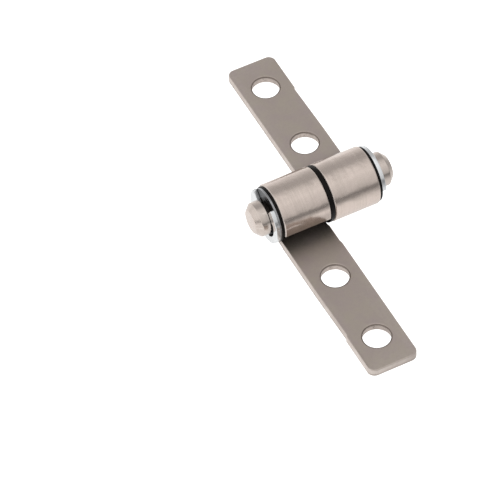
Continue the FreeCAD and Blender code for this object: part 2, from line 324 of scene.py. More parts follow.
class Graph:
    """A node tree, with short calls to add nodes and join them."""

    def __init__(self, tree: bpy.types.NodeTree) -> None:
        """Work on a tree, which may already hold nodes."""
        self.tree = tree

    def feed(self, value: object, socket: bpy.types.NodeSocket) -> None:
        """Join a socket to an input, or give the input a plain value."""
        if isinstance(value, bpy.types.NodeSocket):
            self.tree.links.new(value, socket)
        else:
            socket.default_value = value

    def add(self, kind: str, inputs: dict | None = None,
            **settings: object) -> bpy.types.Node:
        """Add a node.

        Args:
            kind: The node's type name.
            inputs: Values or sockets by input name or number.
            settings: The node's own settings.

        Returns:
            The new node.
        """
        node = self.tree.nodes.new(kind)
        for name, value in settings.items():
            setattr(node, name, value)
        for name, value in (inputs or {}).items():
            self.feed(value, node.inputs[name])
        return node

    def math(self, operation: str, *values: object,
             clamp: bool = False) -> bpy.types.NodeSocket:
        """A Math node's result."""
        node = self.add("ShaderNodeMath", dict(enumerate(values)), operation=operation)
        node.use_clamp = clamp
        return node.outputs[0]

    def vector(self, operation: str, *values: object) -> bpy.types.Node:
        """A Vector Math node."""
        return self.add("ShaderNodeVectorMath", dict(enumerate(values)),
                        operation=operation)

    def remap(self, value: object, low: float, high: float, to_low: float = 0.0,
              to_high: float = 1.0) -> bpy.types.NodeSocket:
        """A value taken smoothly and clamped from one range to another."""
        node = self.add("ShaderNodeMapRange",
                        {0: value, 1: low, 2: high, 3: to_low, 4: to_high},
                        interpolation_type="SMOOTHSTEP")
        return node.outputs[0]

    def noise(self, vector: object, scale: object, detail: float = 3.0,
              roughness: float = 0.5) -> bpy.types.NodeSocket:
        """A noise texture's value, about a half on average."""
        node = self.add("ShaderNodeTexNoise",
                        {"Vector": vector, "Scale": scale, "Detail": detail,
                         "Roughness": roughness})
        return node.outputs["Fac"]

    def blend(self, share: object, first: object, second: object,
              kind: str = "MIX") -> bpy.types.NodeSocket:
        """Two colours mixed by a share."""
        node = self.add("ShaderNodeMix", data_type="RGBA", blend_type=kind)
        for index, value in ((0, share), (6, first), (7, second)):
            self.feed(value, node.inputs[index])
        return node.outputs[2]

    def group(self, tree: bpy.types.NodeTree, **inputs: object) -> bpy.types.Node:
        """A shared group, with its own values here; underscores stand for spaces."""
        node = self.tree.nodes.new("ShaderNodeGroup")
        node.node_tree = tree
        for name, value in inputs.items():
            self.feed(value, node.inputs[name.replace("_", " ")])
        return node


def start_material(name: str) -> tuple[bpy.types.Material, Graph, bpy.types.Node]:
    """A new material, its graph and its surface shader."""
    made = bpy.data.materials.new(name)
    made.use_nodes = True
    return made, Graph(made.node_tree), made.node_tree.nodes["Principled BSDF"]


def opaque(colour: Colour) -> tuple[float, float, float, float]:
    """A colour with full cover."""
    return (*colour, 1.0)


class Effects:
    """Node groups that more than one finish uses, each built once."""

    def __init__(self, sizes: HingeSizes) -> None:
        """Build every group.

        Args:
            sizes: The hinge's sizes, for the coordinates about the pin.
        """
        self.pin_space = self._pin_space(sizes.axis_height)
        self.block_space = self._block_space()
        self.mottle = self._mottle()
        self.brushing = self._brushing()
        self.scratches = self._scratches()
        self.edge_wear = self._edge_wear()

    @staticmethod
    def _new(name: str, inputs: dict[str, float | None],
             outputs: tuple[str, ...]) -> tuple[Graph, bpy.types.Node, bpy.types.Node]:
        """Start a group.

        Args:
            name: The group's name.
            inputs: Each input's name and default; None makes it a vector.
            outputs: Names of value outputs, or of a vector one if it ends in Vector.

        Returns:
            The graph, its input node and its output node.
        """
        tree = bpy.data.node_groups.new(name, "ShaderNodeTree")
        for title, default in inputs.items():
            kind = "NodeSocketVector" if default is None else "NodeSocketFloat"
            socket = tree.interface.new_socket(title, in_out="INPUT", socket_type=kind)
            if default is not None:
                socket.default_value = default
        for title in outputs:
            kind = "NodeSocketVector" if title.endswith("Vector") else "NodeSocketFloat"
            tree.interface.new_socket(title, in_out="OUTPUT", socket_type=kind)
        graph = Graph(tree)
        return graph, graph.add("NodeGroupInput"), graph.add("NodeGroupOutput")

    def _pin_space(self, axis_height: float) -> bpy.types.NodeTree:
        """Millimetres along the pin, around it at its distance, and out from it."""
        graph, _, out = self._new("Pin Space", {}, ("Vector", "Radius", "Turn"))
        place = graph.add("ShaderNodeTexCoord").outputs["Object"]
        scaled = graph.vector("SCALE", place)
        scaled.inputs["Scale"].default_value = 1 / MM
        parts = graph.add("ShaderNodeSeparateXYZ", {0: scaled.outputs[0]})
        rise = graph.math("SUBTRACT", parts.outputs["Z"], axis_height)
        across = graph.math("MULTIPLY", parts.outputs["Y"], parts.outputs["Y"])
        upward = graph.math("MULTIPLY", rise, rise)
        radius = graph.math("SQRT", graph.math("ADD", across, upward))
        # The join of the turn lies straight down, where a leaf runs into its barrel.
        turn = graph.math("ARCTAN2", parts.outputs["Y"], rise)
        around = graph.math("MULTIPLY", turn, radius)
        joined = graph.add("ShaderNodeCombineXYZ",
                           {0: parts.outputs["X"], 1: around, 2: radius})
        for value, title in ((joined.outputs[0], "Vector"), (radius, "Radius"), (turn, "Turn")):
            graph.feed(value, out.inputs[title])
        return graph.tree

    def _block_space(self) -> bpy.types.NodeTree:
        """The piece's own coordinates in millimetres."""
        graph, _, out = self._new("Block Space", {}, ("Vector",))
        scaled = graph.vector("SCALE", graph.add("ShaderNodeTexCoord").outputs["Object"])
        scaled.inputs["Scale"].default_value = 1 / MM
        graph.feed(scaled.outputs[0], out.inputs["Vector"])
        return graph.tree

    def _mottle(self) -> bpy.types.NodeTree:
        """Soft cloudy patches of plating, with a finer speckle over them."""
        graph, given, out = self._new(
            "Plating Mottle", {"Vector": None, "Patch": 0.4, "Speckle": 5.0},
            ("Cloud", "Grain"))
        cloud = graph.noise(given.outputs["Vector"], given.outputs["Patch"], 4.0, 0.6)
        grain = graph.noise(given.outputs["Vector"], given.outputs["Speckle"], 3.0, 0.65)
        graph.feed(graph.remap(cloud, 0.3, 0.7), out.inputs["Cloud"])
        graph.feed(grain, out.inputs["Grain"])
        return graph.tree

    def _brushing(self) -> bpy.types.NodeTree:
        """Fine parallel lines: the vector's X is across them and its Y along them."""
        graph, given, out = self._new(
            "Brushing", {"Vector": None, "Across": 9.0, "Along": 0.35}, ("Lines", "Height"))
        stretch = graph.add("ShaderNodeCombineXYZ",
                            {0: given.outputs["Across"], 1: given.outputs["Along"],
                             2: given.outputs["Along"]})
        drawn = graph.vector("MULTIPLY", given.outputs["Vector"], stretch.outputs[0])
        broad = graph.noise(drawn.outputs[0], 0.35, 2.0, 0.5)
        fine = graph.noise(drawn.outputs[0], 1.6, 4.0, 0.7)
        mixed = graph.math("ADD", graph.math("MULTIPLY", broad, 0.6),
                           graph.math("MULTIPLY", fine, 0.4))
        graph.feed(graph.remap(mixed, 0.32, 0.68), out.inputs["Lines"])
        graph.feed(mixed, out.inputs["Height"])
        return graph.tree

    def _scratches(self) -> bpy.types.NodeTree:
        """Sparse hairline marks, each a thin level line of a stretched noise."""
        graph, given, out = self._new(
            "Hairlines", {"Vector": None, "Scale": 0.6, "Width": 0.006, "Cover": 0.55},
            ("Mask",))
        marks = None
        for turn, stretch in ((0.35, 9.0), (-1.1, 7.0)):
            tilted = graph.add("ShaderNodeMapping", {"Vector": given.outputs["Vector"],
                                                     "Rotation": (0.0, 0.0, turn),
                                                     "Scale": (1.0, stretch, 1.0)})
            level = graph.noise(tilted.outputs[0], given.outputs["Scale"], 1.0, 0.4)
            offset = graph.math("ABSOLUTE", graph.math("SUBTRACT", level, 0.5))
            line = graph.math("LESS_THAN", offset, given.outputs["Width"])
            gate = graph.noise(given.outputs["Vector"], 1.3 + abs(turn), 2.0, 0.5)
            shown = graph.math("GREATER_THAN", gate, given.outputs["Cover"])
            mark = graph.math("MULTIPLY", line, shown)
            marks = mark if marks is None else graph.math("MAXIMUM", marks, mark)
        graph.feed(marks, out.inputs["Mask"])
        return graph.tree

    def _edge_wear(self) -> bpy.types.NodeTree:
        """A mask that is full on outward corners, broken up by a fine noise."""
        graph, given, out = self._new(
            "Edge Wear", {"Vector": None, "Low": 0.51, "High": 0.58, "Breakup": 3.0}, ("Mask",))
        sharp = graph.add("ShaderNodeNewGeometry").outputs["Pointiness"]
        span = graph.math("SUBTRACT", given.outputs["High"], given.outputs["Low"])
        rise = graph.math("DIVIDE", graph.math("SUBTRACT", sharp, given.outputs["Low"]), span,
                          clamp=True)
        breakup = graph.remap(
            graph.noise(given.outputs["Vector"], given.outputs["Breakup"], 3.0, 0.6),
            0.35, 0.6, 0.45, 1.0)
        graph.feed(graph.math("MULTIPLY", rise, breakup), out.inputs["Mask"])
        return graph.tree


# ---------------------------------------------------------------- finishes


class Lay(Enum):
    """Which way the fine lines of a metal finish run."""

    CLOUDY = "cloudy"           # barrel-plated strip, with no lines
    AROUND = "around"           # lines round the pin, as on rolled or turned metal
    FACED = "faced"             # rings on a face square to the pin
    SHEARED = "sheared"         # short upright tears of a blanked edge


@dataclass(frozen=True)
class MetalFinish:
    """A plated metal: its colours, gloss, the marks left by how it was made, and painted corner shade.

    Heights are in millimetres, because the bump works in real depth.
    """

    name: str
    colour: Colour
    patch_colour: Colour
    wear_colour: Colour
    lay: Lay
    roughness: float
    roughness_spread: float
    line_height: float = 0.0
    line_tone: float = 0.03     # how much the lines lighten and darken
    peel_height: float = 0.0    # fine unevenness of the plating
    peel_scale: float = 2.2
    sway_height: float = 0.0    # slow waviness that bends reflections
    sway_scale: float = 0.35
    scratch_cover: float = 0.62
    tear_split: float = 0.0     # height where a sheared edge turns from torn to smooth
    torn_colour: Colour = (0.60, 0.53, 0.485)
    corner_shade: float = 0.0         # painted shade in the corner between a strap and its barrel, as the share of colour taken off

    def material(self, effects: Effects) -> bpy.types.Material:
        """Build the material from the shared effects."""
        made, graph, shader = start_material(self.name)
        shader.inputs["Metallic"].default_value = 1.0
        round_lay = self.lay in (Lay.AROUND, Lay.FACED)
        place = graph.group(effects.pin_space if round_lay
                            else effects.block_space).outputs["Vector"]
        flat = graph.group(effects.block_space).outputs["Vector"]
        mottle = graph.group(effects.mottle, Vector=flat)
        lines, line_height = self._lines(graph, effects, place, flat)
        wear = graph.group(effects.edge_wear, Vector=flat).outputs["Mask"]
        scratch = graph.group(effects.scratches, Vector=place,
                              Cover=self.scratch_cover).outputs["Mask"]

        tone = graph.blend(mottle.outputs["Cloud"], opaque(self.colour),
                           opaque(self.patch_colour))
        if self.lay is Lay.SHEARED:
            smooth = self._smooth_zone(graph, flat)
            tone = graph.blend(smooth, opaque(self.torn_colour), tone)
            pits = graph.remap(graph.noise(flat, PIT_SCALE, 2.0), *PIT_RANGE, 0.0, PIT_SHARE)
            pits = graph.math("MULTIPLY", pits, graph.math("SUBTRACT", 1.1, smooth, clamp=True))
            tone = graph.blend(pits, tone, opaque(PIT))
        shade = graph.remap(lines, 0.0, 1.0, 1.0 - self.line_tone, 1.0 + 0.6 * self.line_tone)
        # Painted shade: the colour is darkened in the corner between a strap and its barrel.
        if self.corner_shade:
            painted_shade = graph.math("MULTIPLY", self._corner(graph, flat), self.corner_shade)
            shade = graph.math("MULTIPLY", shade, graph.math("SUBTRACT", 1.0, painted_shade))
        tone = graph.blend(1.0, tone, graph.add("ShaderNodeCombineColor",
                           {0: shade, 1: shade, 2: shade}).outputs[0], "MULTIPLY")
        tone = graph.blend(graph.math("MULTIPLY", wear, 0.6), tone, opaque(self.wear_colour))
        graph.feed(tone, shader.inputs["Base Color"])

        spread = self.roughness_spread
        rough = graph.remap(lines, 0.0, 1.0, self.roughness + spread, self.roughness - spread)
        cloud = graph.remap(mottle.outputs["Cloud"], 0.0, 1.0, -spread / 2, spread / 2)
        rough = graph.math("ADD", rough, cloud)
        rough = graph.math("SUBTRACT", rough, graph.math("MULTIPLY", wear, spread))
        rough = graph.math("ADD", rough, graph.math("MULTIPLY", scratch, SCRATCH_DULL))
        graph.feed(rough, shader.inputs["Roughness"])

        peel = graph.math("MULTIPLY", graph.noise(flat, self.peel_scale, 3.0, 0.55),
                          self.peel_height)
        sway = graph.math("MULTIPLY", graph.noise(flat, self.sway_scale, 2.0, 0.45),
                          self.sway_height)
        depth = graph.math("ADD", graph.math("ADD", peel, sway), line_height)
        depth = graph.math("SUBTRACT", depth, graph.math("MULTIPLY", scratch, SCRATCH_DEPTH))
        bump = graph.add("ShaderNodeBump", {"Strength": 1.0, "Distance": MM, "Height": depth})
        graph.feed(bump.outputs["Normal"], shader.inputs["Normal"])
        return made

    def _lines(self, graph: Graph, effects: Effects, place: bpy.types.NodeSocket,
               flat: bpy.types.NodeSocket) -> tuple[bpy.types.NodeSocket, bpy.types.NodeSocket]:
        """The line pattern of this lay.

        Args:
            graph: The material's graph.
            effects: The shared groups.
            place: Coordinates that follow the lay.
            flat: The piece's own coordinates.

        Returns:
            A mask of the lines, and their height in millimetres.
        """
        if self.lay is Lay.CLOUDY:
            speckle = graph.group(effects.mottle, Vector=flat, Patch=1.4).outputs
            return speckle["Grain"], graph.math("MULTIPLY", speckle["Grain"], self.line_height)
        if self.lay is Lay.AROUND:
            brush = graph.group(effects.brushing, Vector=place).outputs
            patch = graph.remap(graph.noise(flat, 0.35, 2.0), 0.4, 0.62, 0.25, 1.0)
            lines = graph.math("ADD", graph.math("MULTIPLY", graph.math(
                "SUBTRACT", brush["Lines"], 0.5), patch), 0.5)
            height = graph.math("MULTIPLY", brush["Height"], patch)
            return lines, graph.math("MULTIPLY", height, self.line_height)
        if self.lay is Lay.FACED:
            parts = graph.add("ShaderNodeSeparateXYZ", {0: place})
            ringed = graph.add("ShaderNodeCombineXYZ",
                               {0: parts.outputs["Z"], 1: parts.outputs["Y"], 2: 0.0})
            brush = graph.group(effects.brushing, Vector=ringed.outputs[0]).outputs
            return brush["Lines"], graph.math("MULTIPLY", brush["Height"], self.line_height)
        parts = graph.add("ShaderNodeSeparateXYZ", {0: flat})
        along = graph.math("ADD", parts.outputs["X"], parts.outputs["Y"])
        upright = graph.add("ShaderNodeCombineXYZ", {0: along, 1: parts.outputs["Z"], 2: 0.0})
        brush = graph.group(effects.brushing, Vector=upright.outputs[0], Across=5.0,
                            Along=1.2).outputs
        smooth = self._smooth_zone(graph, flat)
        lines = graph.math("MULTIPLY", brush["Lines"], graph.remap(smooth, 0.0, 1.0, 1.0, 0.35))
        return lines, graph.math("MULTIPLY", graph.math("MULTIPLY", brush["Height"],
                                 graph.remap(smooth, 0.0, 1.0, 1.0, 0.3)), self.line_height)

    @staticmethod
    def _corner(graph: Graph, flat: bpy.types.NodeSocket) -> bpy.types.NodeSocket:
        """Where the painted shade lies: how deep a point is in the corner between a strap and its own barrel, 0 to
        1.
        """
        parts = graph.add("ShaderNodeSeparateXYZ", {0: flat}).outputs
        beside = graph.remap(graph.math("ABSOLUTE", parts["Y"]), *CORNER_ACROSS, 1.0, 0.0)
        strap_side = graph.remap(graph.math("MULTIPLY", parts["X"], parts["Y"]), *CORNER_SIDE)
        low = graph.remap(parts["Z"], *CORNER_RISE, 1.0, 0.0)
        return graph.math("MULTIPLY", graph.math("MULTIPLY", beside, strap_side), low)

    def _smooth_zone(self, graph: Graph, flat: bpy.types.NodeSocket) -> bpy.types.NodeSocket:
        """A mask of a sheared edge's smooth upper zone, with an uneven lower border."""
        height = graph.add("ShaderNodeSeparateXYZ", {0: flat}).outputs["Z"]
        uneven = graph.math("MULTIPLY", graph.math(
            "SUBTRACT", graph.noise(flat, 1.8, 2.0), 0.5), 0.35)
        edge = graph.math("ADD", height, uneven)
        return graph.remap(edge, self.tear_split - 0.08, self.tear_split + 0.08)


@dataclass(frozen=True)
class ResinFinish:
    """A dark moulded resin or oiled dark steel ring."""

    name: str
    colour: Colour
    rub_colour: Colour
    roughness: float
    metallic: float = 0.0
    gloss: float = 0.1          # level of the clear reflection
    rub: float = 0.35           # share of the rubbed colour on open surfaces
    peel_height: float = 0.004

    def material(self, effects: Effects) -> bpy.types.Material:
        """Build the material from the shared effects."""
        made, graph, shader = start_material(self.name)
        shader.inputs["Metallic"].default_value = self.metallic
        shader.inputs["Specular IOR Level"].default_value = self.gloss
        flat = graph.group(effects.block_space).outputs["Vector"]
        round_place = graph.group(effects.pin_space).outputs["Vector"]
        mottle = graph.group(effects.mottle, Vector=flat, Patch=0.9, Speckle=9.0).outputs
        brush = graph.group(effects.brushing, Vector=round_place, Across=6.0).outputs
        wear = graph.group(effects.edge_wear, Vector=flat).outputs["Mask"]
        tone = graph.blend(graph.math("MULTIPLY", mottle["Cloud"], self.rub),
                           opaque(self.colour), opaque(self.rub_colour))
        tone = graph.blend(graph.math("MULTIPLY", wear, 0.7), tone, opaque(self.rub_colour))
        graph.feed(tone, shader.inputs["Base Color"])
        rough = graph.remap(mottle["Grain"], 0.3, 0.7, self.roughness - 0.06,
                            self.roughness + 0.08)
        graph.feed(rough, shader.inputs["Roughness"])
        depth = graph.math("ADD", graph.math("MULTIPLY", mottle["Grain"], self.peel_height),
                           graph.math("MULTIPLY", brush["Height"], self.peel_height / 2))
        bump = graph.add("ShaderNodeBump", {"Strength": 1.0, "Distance": MM, "Height": depth})
        graph.feed(bump.outputs["Normal"], shader.inputs["Normal"])
        return made


PIT: Colour = (0.160, 0.130, 0.115)
PIT_SHARE = 0.55                # how strongly a pit in a torn edge darkens it
PIT_SCALE = 2.6
PIT_RANGE = (0.60, 0.68)        # noise between these turns from sound metal to pit
SCRATCH_DEPTH = 0.0007          # millimetres
SCRATCH_DULL = 0.12             # added roughness
# Where the painted corner shade lies and fades out.
CORNER_ACROSS = (4.0, 9.5)      # millimetres from the pin over which the corner fades
CORNER_SIDE = (-0.5, 0.5)       # X times Y: positive on a strap's own side
CORNER_RISE = (4.6, 5.5)        # millimetres above the floor over which it fades
NICKEL: Colour = (0.680, 0.576, 0.520)
NICKEL_PATCH: Colour = (0.655, 0.560, 0.500)
NICKEL_BRIGHT: Colour = (0.780, 0.700, 0.650)
STRAP_NICKEL: Colour = (0.534, 0.468, 0.404)
STRAP_PATCH: Colour = (0.516, 0.438, 0.412)
ZINC: Colour = (0.850, 0.860, 0.865)
ZINC_PATCH: Colour = (0.760, 0.775, 0.785)

STRAP_FACE = MetalFinish(
    "strap_face_nickel", STRAP_NICKEL, STRAP_PATCH, NICKEL_BRIGHT, Lay.CLOUDY,
    roughness=0.50, roughness_spread=0.03, line_height=0.0004, peel_height=0.0006,
    sway_height=0.006, sway_scale=0.22, corner_shade=0.36)
BARREL_SKIN = MetalFinish(
    "barrel_skin_nickel", NICKEL, NICKEL_PATCH, NICKEL_BRIGHT, Lay.AROUND,
    roughness=0.20, roughness_spread=0.035, line_height=0.0024, line_tone=0.075,
    peel_height=0.002, sway_height=0.085, sway_scale=0.45, scratch_cover=0.56,
    corner_shade=0.30)
CUT_EDGE = MetalFinish(
    "cut_edge_nickel", (0.72, 0.645, 0.595), (0.64, 0.565, 0.515), NICKEL_BRIGHT, Lay.SHEARED,
    roughness=0.40, roughness_spread=0.09, line_height=0.03, line_tone=0.07,
    peel_height=0.006, tear_split=0.42, torn_colour=(0.500, 0.440, 0.400))
# Painted shade: the wall's smooth upper band is painted dark for the shade inside the hole; the torn lower band
# keeps a metal colour.
HOLE_WALL = MetalFinish(
    "hole_wall_nickel", (0.24, 0.20, 0.175), (0.30, 0.25, 0.22), NICKEL, Lay.SHEARED,
    roughness=0.42, roughness_spread=0.08, line_height=0.03, line_tone=0.08,
    peel_height=0.006, tear_split=0.86, torn_colour=(0.53, 0.46, 0.42))
# Painted highlight: the light colour of the rounded edges stands in for the glint along the rims and edges.
EDGE_HIGHLIGHT = MetalFinish(
    "broken_edge_nickel", (0.86, 0.79, 0.74), (0.80, 0.72, 0.67), (0.90, 0.84, 0.80),
    Lay.CLOUDY, roughness=0.22, roughness_spread=0.05, line_height=0.002, peel_height=0.004)
PIN_TURNED = MetalFinish(
    "pin_turned_nickel", (0.63, 0.555, 0.505), (0.60, 0.52, 0.47), NICKEL_BRIGHT, Lay.AROUND,
    roughness=0.20, roughness_spread=0.035, line_height=0.002, peel_height=0.002,
    sway_height=0.008, sway_scale=0.6)
PIN_FACE = MetalFinish(
    "pin_face_nickel", (0.70, 0.62, 0.565), NICKEL, NICKEL_BRIGHT, Lay.FACED,
    roughness=0.28, roughness_spread=0.04, line_height=0.003, peel_height=0.003)
# Painted shade: the groove under each clip is painted near black.
PIN_GROOVE = MetalFinish(
    "pin_groove_dark", (0.075, 0.062, 0.055), (0.05, 0.042, 0.038), NICKEL_BRIGHT, Lay.AROUND,
    roughness=0.42, roughness_spread=0.05, line_height=0.003, peel_height=0.003)
CLIP_ZINC = MetalFinish(
    "clip_bright_zinc", ZINC, ZINC_PATCH, (0.9, 0.91, 0.92), Lay.CLOUDY,
    roughness=0.19, roughness_spread=0.05, line_height=0.002, peel_height=0.006,
    peel_scale=1.4, sway_height=0.02, sway_scale=0.9)
# Painted highlight: the spring washer's rim is painted light, for the thin bright line along its edge.
SPRING_RIM = MetalFinish(
    "spring_rim_worn", (0.42, 0.42, 0.43), (0.30, 0.30, 0.31), (0.6, 0.6, 0.61), Lay.AROUND,
    roughness=0.24, roughness_spread=0.06, line_height=0.003, line_tone=0.1, peel_height=0.003)
WASHER_RESIN = ResinFinish(
    "washer_black_resin", (0.0035, 0.0028, 0.0024), (0.012, 0.010, 0.009), roughness=0.34)
SLEEVE_RESIN = ResinFinish(
    "sleeve_dark_resin", (0.016, 0.013, 0.011), (0.05, 0.043, 0.036), roughness=0.5)
SPRING_STEEL = ResinFinish(
    "spring_dark_steel", (0.030, 0.029, 0.030), (0.50, 0.50, 0.52), roughness=0.30,
    metallic=1.0, rub=0.02, peel_height=0.002)


# ---------------------------------------------------------------- the hinge's pieces


@dataclass
class Leaf:
    """A leaf: a blanked strap with two screw holes, rolled into a barrel.

    It is modelled as the far leaf, and the near leaf is turned half round.
    """

    name: str
    node: str
    body: str
    turned: bool
    sizes: HingeSizes
    tip_corner: float = 1.1
    neck_relief: float = 0.12
    neck_end: float = 6.9
    neck_blend: float = 0.5
    shoulder: float = 0.36
    step_depth: float = 0.16
    step_length: float = 9.0
    step_before_hole: float = 1.85
    step_run: float = 0.36
    edge_break: float = 0.12
    curl_gap: float = 77.0
    curl_steps: int = 94
    hole_sides: int = 72
    draw_depth: float = 0.32    # how far down and out a punched edge is drawn in
    draw_width: float = 0.05
    draw_steps: int = 5
    slots: tuple[MetalFinish, ...] = (
        STRAP_FACE, BARREL_SKIN, CUT_EDGE, EDGE_HIGHLIGHT, HOLE_WALL)
    box: Span = field(init=False)
    middle: float = field(init=False)
    holes: tuple[float, float] = field(init=False)
    hole_radius: float = field(init=False)

    def __post_init__(self) -> None:
        """Read the far leaf's box and its screw holes from the frame."""
        self.box = Span.of("leaf_far")
        mount = next(m for m in frame["record"]["mounts"] if m["name"] == "far_leaf_screws")
        centre = mount["pos_m"][1] / MM
        half = mount["dims"]["spacing_y_mm"] / 2
        self.middle = mount["pos_m"][0] / MM
        self.holes = (centre - half, centre + half)
        self.hole_radius = mount["dims"]["hole_r_mm"]

    @property
    def barrel(self) -> tuple[float, float]:
        """Where the barrel starts and ends along the pin."""
        play = self.sizes.side_play
        return Span.of("centre_washer").high.x + play, Span.of("end_washer_far").low.x - play

    @property
    def neck_start(self) -> float:
        """Where the strap is clear of the middle washer's rim."""
        rim = Span.of("centre_washer").radius
        bore = self.sizes.bore_radius
        return math.sqrt(rim ** 2 - bore ** 2) + 2 * self.sizes.side_play

    def build(self, effects: Effects) -> bpy.types.Object:
        """Blank, punch, roll and deburr the leaf, then dress it."""
        bench = self._blank()
        self._punch_holes(bench)
        self._roll(bench)
        self._break_edges(bench)
        self._sort_faces(bench)
        made = bench.release()
        if self.turned:
            made.data.transform(Matrix.Rotation(math.pi, 4, "Z"))
        for finish in self.slots:
            made.data.materials.append(shared_material(finish, effects))
        return made

    def _blank(self) -> Bench:
        """The strap's outline: neck, stamping step and rounded tip."""
        low, high = self.box.low, self.box.high
        inner, outer = low.x, high.x
        barrel_start, barrel_end = self.barrel
        step = self.holes[1] - self.step_before_hole
        bench = Bench.block(self.name, Vector((inner, 0.0, 0.0)),
                            Vector((outer, high.y, self.sizes.gauge)))
        stations = {
            0.0: (barrel_start, barrel_end),
            self.neck_start: (barrel_start, barrel_end),
            self.neck_start + self.shoulder: (inner + self.neck_relief, outer),
            self.neck_end - self.neck_blend: (inner + self.neck_relief, outer),
            self.neck_end: (inner, outer),
            step - self.step_length: (inner, outer),
            step - self.step_run: (inner, outer - self.step_depth),
            step: (inner, outer),
        }
        for y in stations:
            if y > 0.0:
                bench.slice_across(y)
        for y, (left, right) in stations.items():
            for side, edge in ((left, inner), (right, outer)):
                bench.pick_points(lambda v, y=y, edge=edge: abs(v.co.y - y) < MERGE
                                  and abs(v.co.x - edge) < MERGE)
                bench.shift((side - edge, 0.0, 0.0))
        bench.join_flats()
        bench.pick_edges(lambda e: all(abs(v.co.y - high.y) < MERGE for v in e.verts)
                         and abs(e.verts[0].co.z - e.verts[1].co.z) > MERGE)
        bench.soften(self.tip_corner, 10)
        return bench

    def _punch_holes(self, bench: Bench) -> None:
        """Punch both screw holes; the punch draws the top edge in a little with it."""
        gauge = self.sizes.gauge
        for y in self.holes:
            Bench.clear()
            bpy.ops.mesh.primitive_circle_add(
                vertices=self.hole_sides, radius=self.hole_radius, fill_type="NGON",
                location=(self.middle, y, -gauge))
            tool = Bench("punch_tool")
            tool.pick_all()
            tool.extrude()
            tool.shift((0.0, 0.0, 2 * gauge - self.draw_depth))
            rise, radius = 0.0, self.hole_radius
            for step in range(1, self.draw_steps + 1):
                turn = math.pi / 2 * step / self.draw_steps
                higher = self.draw_depth * math.sin(turn)
                wider = self.hole_radius + self.draw_width * (1.0 - math.cos(turn))
                tool.extrude()
                tool.shift((0.0, 0.0, higher - rise))
                bpy.ops.transform.resize(value=(wider / radius, wider / radius, 1.0),
                                         center_override=(self.middle, y, gauge))
                rise, radius = higher, wider
            tool.extrude()
            tool.shift((0.0, 0.0, gauge))
            tool.seal()
            bench.punch(tool.park())

    def _roll(self, bench: Bench) -> None:
        """Roll the strap's end round the pin: under it, over it and down again."""
        bench.pick_faces(lambda f: abs(f.calc_center_median().y) < MERGE
                         and abs(f.normal.y) > 0.9)
        bench.spin(self.sizes, math.radians(360.0 - self.curl_gap), self.curl_steps)
        bench.seal()

    def _break_edges(self, bench: Bench) -> None:
        """Round the blanked edges, and the barrel's rims more than the strap's."""
        bench.pick_corners(30.0)
        mesh = bmesh.from_edit_mesh(bench.obj.data)
        weight = mesh.edges.layers.float.new("bevel_weight_edge")
        for edge in mesh.edges:
            if not edge.select:
                continue
            centre = (edge.verts[0].co + edge.verts[1].co) / 2
            height = centre.z / (2 * self.sizes.gauge)
            outward = Vector((0.0, centre.y, centre.z - self.sizes.axis_height)).length
            rim = (outward > self.sizes.axis_height - self.edge_break / 2
                   and centre.y < self.sizes.gauge)
            if rim:
                edge[weight] = 0.5 + 0.5 * min(1.0, height)
            else:
                edge[weight] = 0.8 if centre.z > self.sizes.gauge / 2 else 0.4
        bmesh.update_edit_mesh(bench.obj.data)
        bench.soften_by_weight(2 * self.edge_break, 3, self.slots.index(EDGE_HIGHLIGHT))

    def _sort_faces(self, bench: Bench) -> None:
        """Give each face its finish: strap, barrel skin or cut edge."""
        broken = self.slots.index(EDGE_HIGHLIGHT)
        mesh = bmesh.from_edit_mesh(bench.obj.data)
        mesh.normal_update()
        skin = self.sizes.axis_height - self.sizes.gauge / 4
        for face in mesh.faces:
            centre = face.calc_center_median()
            # Only the upper rounded edges keep the painted highlight.
            if face.material_index == broken and centre.z > self.sizes.gauge / 2:
                continue
            outward = Vector((0.0, centre.y, centre.z - self.sizes.axis_height))
            rolled = centre.y < 0.0 or centre.z > self.sizes.gauge + self.edge_break
            if self._on_hole(face):
                finish = HOLE_WALL
            elif abs(face.normal.x) > 0.6 or (not rolled and abs(face.normal.z) < 0.6):
                finish = CUT_EDGE
            elif rolled and outward.length > skin and face.normal.dot(outward) > 0.0:
                finish = BARREL_SKIN
            elif rolled and abs(face.normal.dot(outward.normalized())) < 0.6:
                finish = CUT_EDGE
            else:
                finish = STRAP_FACE
            face.material_index = self.slots.index(finish)
        bmesh.update_edit_mesh(bench.obj.data)
        bench.trust(self._is_plain)

    def _on_hole(self, face: bmesh.types.BMFace) -> bool:
        """Whether a face is on a screw hole's wall or its drawn-in edge."""
        centre = face.calc_center_median()
        reach = self.hole_radius + self.draw_width
        return abs(face.normal.z) < 0.9 and any(
            math.hypot(centre.x - self.middle, centre.y - y) < reach for y in self.holes)

    def _is_plain(self, face: bmesh.types.BMFace) -> bool:
        """Whether a face is a flat of the strap or lies on the barrel's skin or bore."""
        if face.material_index == self.slots.index(EDGE_HIGHLIGHT):
            return False
        centre = face.calc_center_median()
        outward = Vector((0.0, centre.y, centre.z - self.sizes.axis_height)).normalized()
        flat = max(abs(part) for part in face.normal) > 0.99999
        return flat or (centre.y < self.neck_start and abs(face.normal.dot(outward)) > 0.999)


